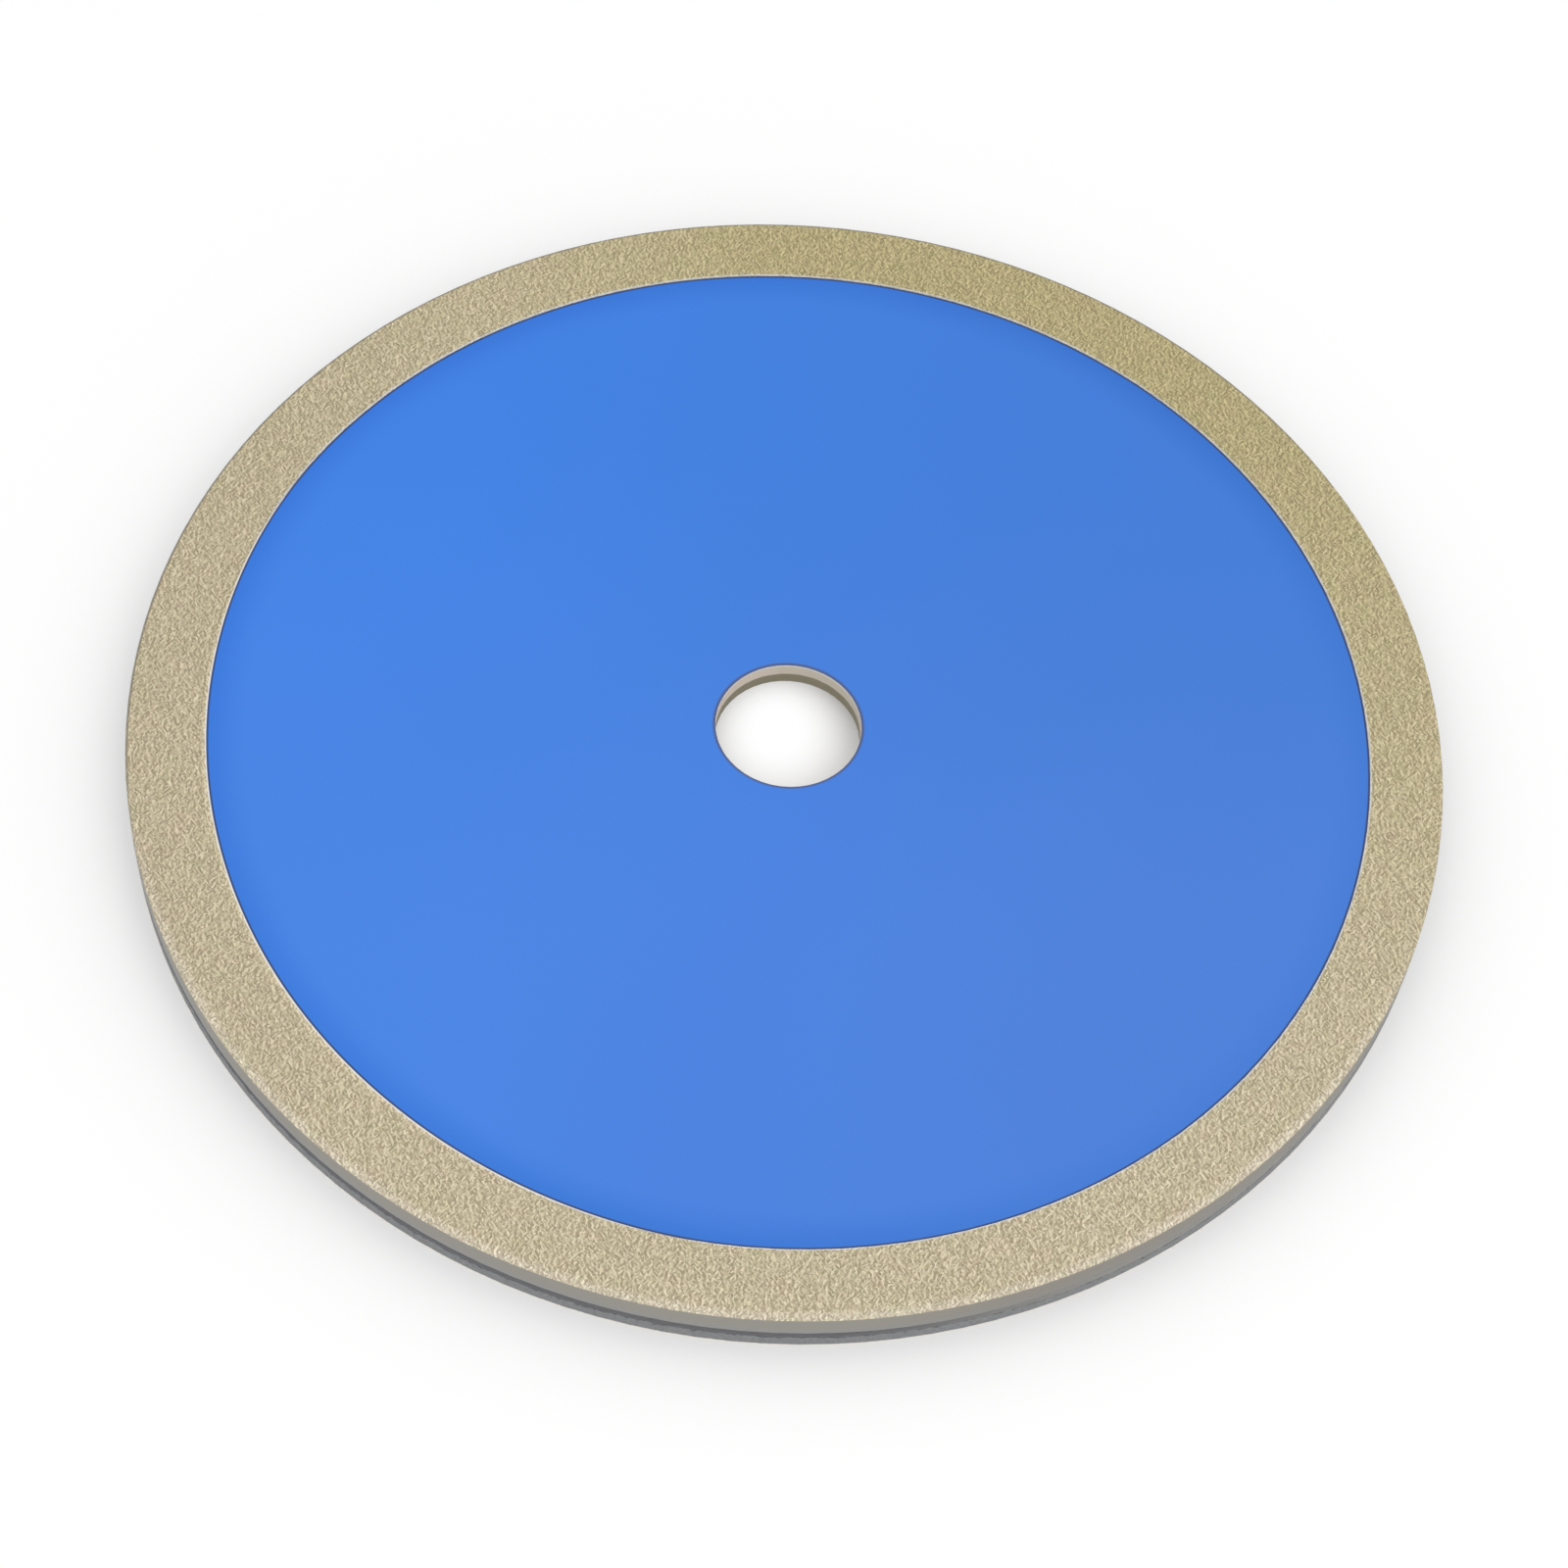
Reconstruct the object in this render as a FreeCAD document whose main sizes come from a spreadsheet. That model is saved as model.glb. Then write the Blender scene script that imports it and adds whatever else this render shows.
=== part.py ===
import FreeCAD, Part
import os

import Sketcher


# Continuous-rim diamond saw blade, 180 mm across, with a 20 mm arbor hole.
# The Z axis is the axis of the bore and the origin is on the blade's mid-plane.
# The blade is a flat steel core and a sintered diamond rim that is bonded round it.
# The bore is a true cylinder in the front half only and widens to a cone at the back.

# Sizes in millimetres: the alias of the cell, its value, and what it measures.
SIZES = (
    ("blade_diameter", 180.0, "over the upper land of the rim"),
    ("rim_width", 10.0, "face of the rim, from the bond line outwards"),
    ("bore_diameter", 20.0, "arbor hole"),
    ("core_thickness", 6.7, "between the two painted faces"),
    ("rim_overhang", 0.2, "rim stands out past each core face"),
    ("bore_edge_break", 0.15, "front edge of the bore"),
    ("bore_lead_in", 2.9, "cone at the back of the bore"),
    ("upper_land_height", 3.6, "smooth upper land of the outer edge"),
    ("groove_width", 1.4, "turned groove below the upper land"),
    ("groove_depth", 0.8, "groove, measured from the upper land"),
    ("lower_land_inset", 0.1, "lower land sits in from the upper one"),
    ("rim_outer_break", 0.15, "outer edges of the rim faces"),
    ("rim_inner_break", 0.1, "inner edges of the rim faces"),
)

SHEET = "Sizes"
TOUCH = 1e-6
FULL_TURN = 360.0


# Document and its table of sizes.
def make_sheet(doc):
    """Put every size in a cell of its own and name the cell."""
    sheet = doc.addObject("Spreadsheet::Sheet", SHEET)
    for row, (alias, value, note) in enumerate(SIZES, start=1):
        sheet.set(f"A{row}", note)
        sheet.set(f"B{row}", str(value))
        sheet.setAlias(f"B{row}", alias)
    doc.recompute()
    return sheet


# Bodies and sketches.
def make_body(doc, label):
    """Add a body that stays at the blade's own origin."""
    body = doc.addObject("PartDesign::Body", label)
    body.Label = label
    body.Placement = FreeCAD.Placement()
    return body


def make_sketch(body, name, role):
    """Add a sketch on one of the body's own origin planes."""
    plane = next(item for item in body.Origin.OriginFeatures if item.Role == role)
    sketch = body.newObject("Sketcher::SketchObject", name)
    sketch.AttachmentSupport = [(plane, "")]
    sketch.MapMode = "FlatFace"
    return sketch


def bind(sketch, constraint, name, formula):
    """Add a named dimension that follows the table of sizes."""
    index = sketch.addConstraint(constraint)
    sketch.renameConstraint(index, name)
    sketch.setExpression(f"Constraints.{name}", formula)


def add_circle(sketch, name, diameter, formula):
    """Draw a circle about the origin and bind its diameter."""
    centre = FreeCAD.Vector(0, 0, 0)
    axis = FreeCAD.Vector(0, 0, 1)
    index = sketch.addGeometry(Part.Circle(centre, axis, diameter / 2))
    sketch.addConstraint(Sketcher.Constraint("Coincident", index, 3, -1, 1))
    bind(sketch, Sketcher.Constraint("Diameter", index, diameter), name, formula)


def add_outline(sketch, corners):
    """Draw a closed outline of level and upright lines, in order round the corners."""
    points = [FreeCAD.Vector(x, y, 0) for x, y in corners]
    lines = []
    for start, end in zip(points, points[1:] + points[:1]):
        lines.append(sketch.addGeometry(Part.LineSegment(start, end)))
    for line, following in zip(lines, lines[1:] + lines[:1]):
        sketch.addConstraint(Sketcher.Constraint("Coincident", line, 2, following, 1))
    for line, start, end in zip(lines, points, points[1:] + points[:1]):
        kind = "Horizontal" if abs(start.y - end.y) < TOUCH else "Vertical"
        sketch.addConstraint(Sketcher.Constraint(kind, line))
    return lines


def bind_radius(sketch, line, value, name, formula):
    """Bind how far the start of a line is from the blade's axis."""
    bind(sketch, Sketcher.Constraint("DistanceX", -1, 1, line, 1, value), name, formula)


def bind_level(sketch, line, value, name, formula):
    """Bind how far the start of a line is above the mid-plane."""
    bind(sketch, Sketcher.Constraint("DistanceY", -1, 1, line, 1, value), name, formula)


def edges_at(shape, radius, level):
    """Name the round edges of a shape that have this radius and this height."""
    names = []
    for index, edge in enumerate(shape.Edges, start=1):
        if not isinstance(edge.Curve, Part.Circle):
            continue
        same_radius = abs(edge.Curve.Radius - radius) < TOUCH
        if same_radius and abs(edge.Curve.Center.z - level) < TOUCH:
            names.append(f"Edge{index}")
    if not names:
        raise RuntimeError(f"no round edge of radius {radius} at height {level}")
    return names


def add_chamfer(body, base, name, edges, formula):
    """Break round edges of the base feature with an equal chamfer."""
    chamfer = body.newObject("PartDesign::Chamfer", name)
    chamfer.Base = (base, edges)
    chamfer.setExpression("Size", formula)
    body.Tip = chamfer
    body.Document.recompute()
    return chamfer


# Steel core: a flat disc with the arbor hole.
def make_core(doc, sheet):
    """Pad the disc, bore it, and chamfer both ends of the bore."""
    body = make_body(doc, "steel_core")

    disc_sketch = make_sketch(body, "CoreOutline", "XY_Plane")
    core_diameter = sheet.blade_diameter - 2 * sheet.rim_width
    core_formula = f"{SHEET}.blade_diameter - 2 * {SHEET}.rim_width"
    add_circle(disc_sketch, "core_diameter", core_diameter, core_formula)
    disc = body.newObject("PartDesign::Pad", "CoreDisc")
    disc.Profile = disc_sketch
    disc.Midplane = True
    disc.setExpression("Length", f"{SHEET}.core_thickness")
    body.Tip = disc
    doc.recompute()

    bore_sketch = make_sketch(body, "BoreOutline", "XY_Plane")
    add_circle(bore_sketch, "bore_diameter", sheet.bore_diameter, f"{SHEET}.bore_diameter")
    bore = body.newObject("PartDesign::Pocket", "ArborBore")
    bore.Profile = bore_sketch
    bore.Type = "ThroughAll"
    bore.Midplane = True
    body.Tip = bore
    doc.recompute()
    if bore.Shape.Volume >= disc.Shape.Volume:
        raise RuntimeError("the arbor bore cuts nothing")

    bore_radius = sheet.bore_diameter / 2
    half_core = sheet.core_thickness / 2
    front_edge = edges_at(bore.Shape, bore_radius, half_core)
    front = add_chamfer(body, bore, "BoreFrontBreak", front_edge, f"{SHEET}.bore_edge_break")
    back_edge = edges_at(front.Shape, bore_radius, -half_core)
    add_chamfer(body, front, "BoreBackLeadIn", back_edge, f"{SHEET}.bore_lead_in")
    return body


# Diamond rim: a closed ring, turned to two lands with a fine groove between them.
def make_rim(doc, sheet):
    """Revolve the ring's section, cut the groove, and break the edges of its faces."""
    body = make_body(doc, "diamond_rim")
    outer = sheet.blade_diameter / 2
    inner = outer - sheet.rim_width
    lower = outer - sheet.lower_land_inset
    top = sheet.core_thickness / 2 + sheet.rim_overhang
    step = top - sheet.upper_land_height
    top_formula = f"{SHEET}.core_thickness / 2 + {SHEET}.rim_overhang"
    step_formula = f"{top_formula} - {SHEET}.upper_land_height"

    section = make_sketch(body, "RimSection", "XZ_Plane")
    corners = ((inner, -top), (lower, -top), (lower, step), (outer, step), (outer, top), (inner, top))
    lines = add_outline(section, corners)
    bind_radius(
        section, lines[0], inner, "inner_radius",
        f"{SHEET}.blade_diameter / 2 - {SHEET}.rim_width",
    )
    bind_radius(
        section, lines[1], lower, "lower_land_radius",
        f"{SHEET}.blade_diameter / 2 - {SHEET}.lower_land_inset",
    )
    bind_radius(section, lines[3], outer, "upper_land_radius", f"{SHEET}.blade_diameter / 2")
    bind_level(section, lines[0], -top, "back_face", f"-({top_formula})")
    bind_level(section, lines[3], step, "upper_land_foot", step_formula)
    bind_level(section, lines[4], top, "front_face", top_formula)
    ring = body.newObject("PartDesign::Revolution", "RimRing")
    ring.Profile = section
    ring.ReferenceAxis = (section, ["V_Axis"])
    ring.Angle = FULL_TURN
    body.Tip = ring
    doc.recompute()

    groove_sketch = make_sketch(body, "GrooveSection", "XZ_Plane")
    floor = outer - sheet.groove_depth
    foot = step - sheet.groove_width
    groove_lines = add_outline(groove_sketch, ((floor, foot), (outer, foot), (outer, step), (floor, step)))
    bind_radius(
        groove_sketch, groove_lines[0], floor, "groove_floor",
        f"{SHEET}.blade_diameter / 2 - {SHEET}.groove_depth",
    )
    bind_radius(groove_sketch, groove_lines[1], outer, "groove_mouth", f"{SHEET}.blade_diameter / 2")
    bind_level(
        groove_sketch, groove_lines[0], foot, "groove_foot",
        f"{step_formula} - {SHEET}.groove_width",
    )
    bind_level(groove_sketch, groove_lines[2], step, "groove_head", step_formula)
    groove = body.newObject("PartDesign::Groove", "EdgeGroove")
    groove.Profile = groove_sketch
    groove.ReferenceAxis = (groove_sketch, ["V_Axis"])
    groove.Angle = FULL_TURN
    body.Tip = groove
    doc.recompute()
    if groove.Shape.Volume >= ring.Shape.Volume:
        raise RuntimeError("the edge groove cuts nothing")

    outer_edges = edges_at(groove.Shape, outer, top) + edges_at(groove.Shape, lower, -top)
    broken = add_chamfer(body, groove, "OuterEdgeBreak", outer_edges, f"{SHEET}.rim_outer_break")
    inner_edges = edges_at(broken.Shape, inner, top) + edges_at(broken.Shape, inner, -top)
    add_chamfer(body, broken, "InnerEdgeBreak", inner_edges, f"{SHEET}.rim_inner_break")
    return body


# Checks and the files.
def check_document(doc, bodies):
    """Stop if a feature failed or a body isn't one valid solid."""
    for item in doc.Objects:
        if "Invalid" in item.State or "Error" in item.State:
            raise RuntimeError(f"{item.Label} failed: {item.State}")
    for body in bodies:
        if body.Shape.isNull() or not body.Shape.isValid():
            raise RuntimeError(f"{body.Label} has no valid shape")
        if len(body.Shape.Solids) != 1:
            raise RuntimeError(f"{body.Label} isn't one solid")


def write_bodies(bodies):
    """Write each body to a file that carries its label."""
    os.makedirs("parts", exist_ok=True)
    for body in bodies:
        body.Shape.exportStep(f"parts/{body.Label}.step")
        print(f"{body.Label}: volume {body.Shape.Volume:.1f} mm3")


def main():
    """Build the blade and write its pieces."""
    doc = FreeCAD.newDocument("diamond_saw_blade")
    sheet = make_sheet(doc)
    bodies = [make_core(doc, sheet), make_rim(doc, sheet)]
    doc.recompute()
    check_document(doc, bodies)
    write_bodies(bodies)


main()
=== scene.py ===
"""Finish of a 180 mm continuous-rim diamond blade: paint, sintered rim, grit, light and camera."""

import logging
import math
from dataclasses import dataclass
from enum import Enum

import bpy
from mathutils import Matrix, Vector


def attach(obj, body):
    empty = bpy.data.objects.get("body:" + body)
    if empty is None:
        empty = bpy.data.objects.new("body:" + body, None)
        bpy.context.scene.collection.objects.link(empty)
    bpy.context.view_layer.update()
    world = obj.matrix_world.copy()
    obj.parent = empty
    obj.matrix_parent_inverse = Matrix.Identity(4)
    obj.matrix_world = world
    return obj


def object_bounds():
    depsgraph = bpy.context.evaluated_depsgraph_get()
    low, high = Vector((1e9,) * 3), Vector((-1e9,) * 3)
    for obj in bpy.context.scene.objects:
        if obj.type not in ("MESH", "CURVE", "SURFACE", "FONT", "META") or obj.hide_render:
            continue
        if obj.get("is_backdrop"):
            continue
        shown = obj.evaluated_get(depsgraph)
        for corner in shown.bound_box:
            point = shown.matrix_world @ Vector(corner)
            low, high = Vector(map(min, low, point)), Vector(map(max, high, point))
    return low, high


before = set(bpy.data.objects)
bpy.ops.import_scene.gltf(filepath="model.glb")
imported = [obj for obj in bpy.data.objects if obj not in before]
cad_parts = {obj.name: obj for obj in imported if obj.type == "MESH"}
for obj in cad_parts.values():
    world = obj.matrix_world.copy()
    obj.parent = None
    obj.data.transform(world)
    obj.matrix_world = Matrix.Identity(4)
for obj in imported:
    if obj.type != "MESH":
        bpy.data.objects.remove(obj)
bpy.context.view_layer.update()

MM = 0.001
LOG = logging.getLogger("blade")

Socket = bpy.types.NodeSocket
Value = float | Socket
Colour = tuple[float, float, float, float]
Span = tuple[float, float]

WHITE: Colour = (1.0, 1.0, 1.0, 1.0)
TURNED_STRETCH = Vector((0.06, 0.06, 7.0))
# Where the painted shade of the rim's far side lies.
FAR_LEAN = 0.17
FAR_SPAN: Span = (-50.0, 90.0)
FAR_LEFT_SPAN: Span = (0.0, -60.0)
FAR_LEFT_EASE = 0.7


def tone(red: float, green: float, blue: float) -> Colour:
    """Turn a colour as it is seen into the linear colour that a shader takes, by the usual curve.

    Args:
        red: red, 0 to 255.
        green: green, 0 to 255.
        blue: blue, 0 to 255.

    Returns:
        The linear colour, with an alpha of 1.
    """
    linear = []
    for part in (red, green, blue):
        share = part / 255
        low = share <= 0.04045
        linear.append(share / 12.92 if low else ((share + 0.055) / 1.055) ** 2.4)
    return (linear[0], linear[1], linear[2], 1.0)


@dataclass(frozen=True)
class BladeSizes:
    """Sizes of the blade in millimetres, as the solids have them."""

    rim_radius: float = 90.0
    bond_radius: float = 80.0
    bore_radius: float = 10.0
    half_core: float = 3.35
    half_rim: float = 3.55
    front_break: float = 0.15
    back_lead_in: float = 2.9
    outer_break: float = 0.15
    land_foot: float = -0.05
    groove_foot: float = -1.45
    lower_inset: float = 0.1

    def from_bore_edge(self, span: Span) -> Span:
        """Give two radii that are measured from the bore's front edge.

        Args:
            span: how far out from the edge each one lies.

        Returns:
            The two radii.
        """
        edge = self.bore_radius + self.front_break
        return (edge + span[0], edge + span[1])


class Graph:
    """The nodes of one material or world, with short calls that add and join them."""

    def __init__(self, tree: bpy.types.NodeTree) -> None:
        """Start with an empty tree.

        Args:
            tree: the material's or the world's tree.
        """
        self.tree = tree
        self.tree.nodes.clear()

    def node(self, kind: str, **settings: object) -> bpy.types.Node:
        """Add a node.

        Args:
            kind: the node's type name.
            settings: its properties.

        Returns:
            The new node.
        """
        made = self.tree.nodes.new(kind)
        for name, value in settings.items():
            setattr(made, name, value)
        return made

    def feed(self, socket: Socket, value: Value | Colour | Vector) -> None:
        """Join a socket to another, or set its own value.

        Args:
            socket: the node's input.
            value: another node's output, or a number, colour or vector.
        """
        if isinstance(value, bpy.types.NodeSocket):
            self.tree.links.new(value, socket)
        elif socket.type == "VECTOR":
            socket.default_value = value[:3]
        else:
            socket.default_value = value

    def math(self, operation: str, *values: Value) -> Socket:
        """Add a sum of one to three values.

        Args:
            operation: the sum, such as MULTIPLY.
            values: what goes in.

        Returns:
            The result.
        """
        made = self.node("ShaderNodeMath", operation=operation)
        for socket, value in zip(made.inputs, values):
            self.feed(socket, value)
        return made.outputs[0]

    def step(self, value: Value, low: Value, high: Value) -> Socket:
        """Rise softly from 0 at low to 1 at high.

        Args:
            value: what is compared.
            low: where the rise starts.
            high: where it ends.

        Returns:
            The share, 0 to 1.
        """
        made = self.node("ShaderNodeMapRange", interpolation_type="SMOOTHSTEP", clamp=True)
        self.feed(made.inputs["Value"], value)
        self.feed(made.inputs["From Min"], low)
        self.feed(made.inputs["From Max"], high)
        return made.outputs[0]

    def between(self, value: Value, low: float, high: float, soft: float) -> Socket:
        """Give 1 between two values and 0 outside them, with soft ends.

        Args:
            value: what is compared.
            low: the lower end.
            high: the upper end.
            soft: how wide each end's rise or fall is.

        Returns:
            The share, 0 to 1.
        """
        up = self.step(value, low - soft / 2, low + soft / 2)
        down = self.step(value, high - soft / 2, high + soft / 2)
        return self.math("SUBTRACT", up, down)

    def mix(self, share: Value, first: Value | Colour, second: Value | Colour) -> Socket:
        """Blend two colours.

        Args:
            share: how much of the second is used.
            first: the colour at 0.
            second: the colour at 1.

        Returns:
            The blended colour.
        """
        made = self.node("ShaderNodeMix", data_type="RGBA")
        self.feed(made.inputs[0], share)
        self.feed(made.inputs[6], first)
        self.feed(made.inputs[7], second)
        return made.outputs[2]

    def blend(self, share: Value, first: Value, second: Value) -> Socket:
        """Blend two numbers, as mix does for colours.

        Args:
            share: how much of the second is used.
            first: the number at 0.
            second: the number at 1.

        Returns:
            The blended number.
        """
        made = self.node("ShaderNodeMix", data_type="FLOAT")
        self.feed(made.inputs[0], share)
        self.feed(made.inputs[2], first)
        self.feed(made.inputs[3], second)
        return made.outputs[0]

    def shade(self, colour: Value | Colour, share: Value) -> Socket:
        """Multiply a colour by a number.

        Args:
            colour: the colour.
            share: the number, about 1.

        Returns:
            The lighter or darker colour.
        """
        made = self.node("ShaderNodeVectorMath", operation="SCALE")
        self.feed(made.inputs[0], colour)
        self.feed(made.inputs["Scale"], share)
        return made.outputs[0]

    def tint(self, share: Value, colour: Value | Colour, filter_colour: Colour) -> Socket:
        """Multiply a colour by a filter, as far as the share says.

        Args:
            share: how much of the filter is used.
            colour: the colour.
            filter_colour: the filter, with 1 for a part that stays as it is.

        Returns:
            The filtered colour.
        """
        made = self.node("ShaderNodeMix", data_type="RGBA", blend_type="MULTIPLY")
        self.feed(made.inputs[0], share)
        self.feed(made.inputs[6], colour)
        self.feed(made.inputs[7], filter_colour)
        return made.outputs[2]

    def noise(
        self, place: Socket, scale: float, detail: float = 2.0, bend: float = 0.0
    ) -> Socket:
        """Add cloudy noise.

        Args:
            place: where it is read, in millimetres.
            scale: features to the millimetre.
            detail: finer layers.
            bend: how far the noise bends itself.

        Returns:
            The noise, about 0.5.
        """
        made = self.node("ShaderNodeTexNoise")
        self.feed(made.inputs["Vector"], place)
        self.feed(made.inputs["Scale"], scale)
        self.feed(made.inputs["Detail"], detail)
        self.feed(made.inputs["Distortion"], bend)
        return made.outputs[0]

    def sway(self, noise: Socket, depth: float) -> Socket:
        """Turn noise into a factor about 1.

        Args:
            noise: the noise, about 0.5.
            depth: how far the factor sways.

        Returns:
            The factor.
        """
        return self.math("MULTIPLY_ADD", noise, depth, 1 - depth / 2)

    def stir(self, value: Value, noise: Socket, depth: float) -> Socket:
        """Move a value up and down by noise.

        Args:
            value: the value.
            noise: the noise, about 0.5.
            depth: how far the value moves in all.

        Returns:
            The uneven value.
        """
        return self.math("MULTIPLY_ADD", noise, depth, self.math("SUBTRACT", value, depth / 2))

    def bump(self, height: Socket, depth: float, normal: Socket | None = None) -> Socket:
        """Turn a height into a bumped normal.

        Args:
            height: the height, 0 to 1.
            depth: how deep 1 is, in millimetres.
            normal: an earlier bump that this one is added to.

        Returns:
            The normal.
        """
        made = self.node("ShaderNodeBump")
        self.feed(made.inputs["Height"], height)
        self.feed(made.inputs["Distance"], depth * MM)
        if normal is not None:
            self.feed(made.inputs["Normal"], normal)
        return made.outputs[0]


@dataclass(frozen=True)
class Place:
    """Where a point of the blade is, in millimetres, for a material."""

    point: Socket
    radius: Socket
    height: Socket
    along: Socket
    across: Socket


class Finish:
    """A material with one glossy shader, whose colour follows the place on the blade."""

    def __init__(self, name: str) -> None:
        """Start the material and read the place.

        Args:
            name: the material's name.
        """
        self.material = bpy.data.materials.new(name)
        self.material.use_nodes = True
        self.graph = Graph(self.material.node_tree)
        self.shader = self.graph.node("ShaderNodeBsdfPrincipled")
        self.output = self.graph.node("ShaderNodeOutputMaterial")
        self.graph.feed(self.output.inputs["Surface"], self.shader.outputs["BSDF"])
        self.place = self.read_place()

    def read_place(self) -> Place:
        """Scale the object's own coordinates to millimetres.

        Returns:
            The point, how far it is from the bore's axis, its height, and its X and Y.
        """
        graph = self.graph
        coordinates = graph.node("ShaderNodeTexCoord")
        scaled = graph.node("ShaderNodeVectorMath", operation="SCALE")
        graph.feed(scaled.inputs[0], coordinates.outputs["Object"])
        graph.feed(scaled.inputs["Scale"], 1 / MM)
        apart = graph.node("ShaderNodeSeparateXYZ")
        graph.feed(apart.inputs[0], scaled.outputs[0])
        flat = graph.node("ShaderNodeCombineXYZ")
        graph.feed(flat.inputs[0], apart.outputs[0])
        graph.feed(flat.inputs[1], apart.outputs[1])
        length = graph.node("ShaderNodeVectorMath", operation="LENGTH")
        graph.feed(length.inputs[0], flat.outputs[0])
        along, across, height = apart.outputs
        return Place(scaled.outputs[0], length.outputs["Value"], height, along, across)

    def give(self, **inputs: Value | Colour) -> None:
        """Set or join the shader's inputs.

        Args:
            inputs: the inputs by name, with _ for a space.
        """
        for name, value in inputs.items():
            self.graph.feed(self.shader.inputs[name.replace("_", " ")], value)


@dataclass(frozen=True)
class PaintedSteel:
    """Blue satin paint on both faces, with the bore's wall left bare. Lengths are in millimetres."""

    # Painted light and sheen: the paint is lighter on the left and greyer with sheen on the right, and
    # the far side loses the sheen.
    paint_left: Colour = tone(53, 126, 228)
    paint_right: Colour = tone(60, 120, 214)
    painted_light_span: Span = (-75.0, 75.0)
    far_shade_filter: Colour = (0.45, 0.92, 0.98, 1.0)
    far_shade_span: Span = (-45.0, 60.0)

    # Painted shade: the paint deepens near the rim, less so on the near right.
    rim_shade_filter: Colour = (0.32, 0.8, 0.9, 1.0)
    rim_shade_span: Span = (74.0, 81.0)
    near_right_lean: float = -0.36
    near_right_span: Span = (30.0, 75.0)
    near_right_ease: float = 0.55

    seam: Colour = tone(38, 60, 112)
    seam_width: float = 0.28
    seam_soft: float = 0.05
    lap_soft: float = 0.03
    # Painted shade: a darker ring round the bore's front edge.
    bore_edge_shade: Colour = tone(66, 88, 142)
    bore_edge_shade_span: Span = (0.42, 0.08)

    cloud_scale: float = 0.018
    cloud_depth: float = 0.07
    speck_scale: float = 2.4
    speck_depth: float = 0.03
    peel_scale: float = 0.9
    peel_depth: float = 0.004
    paint_gloss: float = 0.42
    paint_gloss_sway: float = 0.06

    # Bare steel of the bore: the bright upper band, lighter on the left, and the dark lower band are
    # painted light and shade.
    lit_steel_left: Colour = tone(236, 221, 209)
    lit_steel_right: Colour = tone(219, 211, 196)
    shaded_steel: Colour = tone(150, 143, 122)
    steel_light_span: Span = (-9.0, 2.0)
    bare_split: float = 1.3
    split_soft: float = 0.04
    wobble_scale: float = 0.6
    wobble_depth: float = 0.24
    # The pale lip at the top of the bore's wall is a painted highlight.
    lip_highlight: Colour = tone(226, 226, 224)
    lip_height: float = 0.28
    lip_soft: float = 0.1
    lip_share: float = 0.7
    turned_sway: float = 0.2
    turned_depth: float = 0.02
    bare_metal: float = 0.35
    bare_gloss: float = 0.42
    front_paint_span: Span = (0.01, 0.04)
    back_paint_span: Span = (-0.02, 0.02)

    def material(self, sizes: BladeSizes) -> bpy.types.Material:
        """Make the material.

        Args:
            sizes: the blade's sizes.

        Returns:
            The material for the core.
        """
        finish = Finish("blue_paint")
        graph, place = finish.graph, finish.place
        rim = SinteredRim()
        line = rim.bond_line(graph, place, sizes)
        cloud = graph.noise(place.point, self.cloud_scale, 1.0)
        lap_from = graph.math("SUBTRACT", line, self.lap_soft)
        lapped = graph.step(place.radius, lap_from, graph.math("ADD", line, self.lap_soft))
        sand = rim.face(graph, place, line, rim.grain(graph, place))
        colour = graph.mix(lapped, self.paint(graph, place, sizes, line, cloud), sand)

        turned = graph.noise(round_lines(graph, place), 1.0, 3.0)
        bare = self.bare_wall(graph, place, sizes, turned)
        painted = self.painted(graph, place, sizes)
        peel = graph.noise(place.point, self.peel_scale, 1.0)
        skin = graph.bump(graph.math("MULTIPLY", peel, painted), self.peel_depth)
        marks = graph.math("SUBTRACT", turned, graph.math("MULTIPLY", turned, painted))
        satin = graph.math("MULTIPLY_ADD", cloud, self.paint_gloss_sway, self.paint_gloss)
        finish.give(
            Base_Color=graph.mix(painted, bare, colour),
            Metallic=graph.blend(painted, self.bare_metal, 0.0),
            Roughness=graph.blend(painted, self.bare_gloss, satin),
            Normal=graph.bump(marks, self.turned_depth, skin),
        )
        return finish.material

    def paint(
        self, graph: Graph, place: Place, sizes: BladeSizes, line: Socket, cloud: Socket
    ) -> Socket:
        """Colour the paint: painted light makes it lighter on the left, the far side loses its painted
        sheen, painted shade deepens it at the rim and darkens the bore's edge, and a dark seam runs
        along the bond.

        Args:
            graph: the material's graph.
            place: the place on the blade.
            sizes: the blade's sizes.
            line: the radius where the sand begins.
            cloud: the paint's slow unevenness.

        Returns:
            The colour.
        """
        speck = graph.noise(place.point, self.speck_scale, 2.0)
        level = graph.stir(graph.sway(cloud, self.cloud_depth), speck, self.speck_depth)
        inwards = graph.math("SUBTRACT", sizes.bond_radius, line)
        rim_shade = graph.step(graph.math("ADD", place.radius, inwards), *self.rim_shade_span)
        aside = graph.math("MULTIPLY_ADD", place.across, self.near_right_lean, place.along)
        near_right = graph.step(aside, *self.near_right_span)
        eased = graph.math("MULTIPLY_ADD", near_right, -self.near_right_ease, 1.0)

        # Painted light and sheen across the disc, then the far side's loss of sheen and the painted
        # shade near the rim.
        colour = graph.mix(graph.step(place.along, *self.painted_light_span), self.paint_left, self.paint_right)
        colour = graph.tint(graph.step(place.across, *self.far_shade_span), colour, self.far_shade_filter)
        colour = graph.tint(graph.math("MULTIPLY", rim_shade, eased), colour, self.rim_shade_filter)
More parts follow.
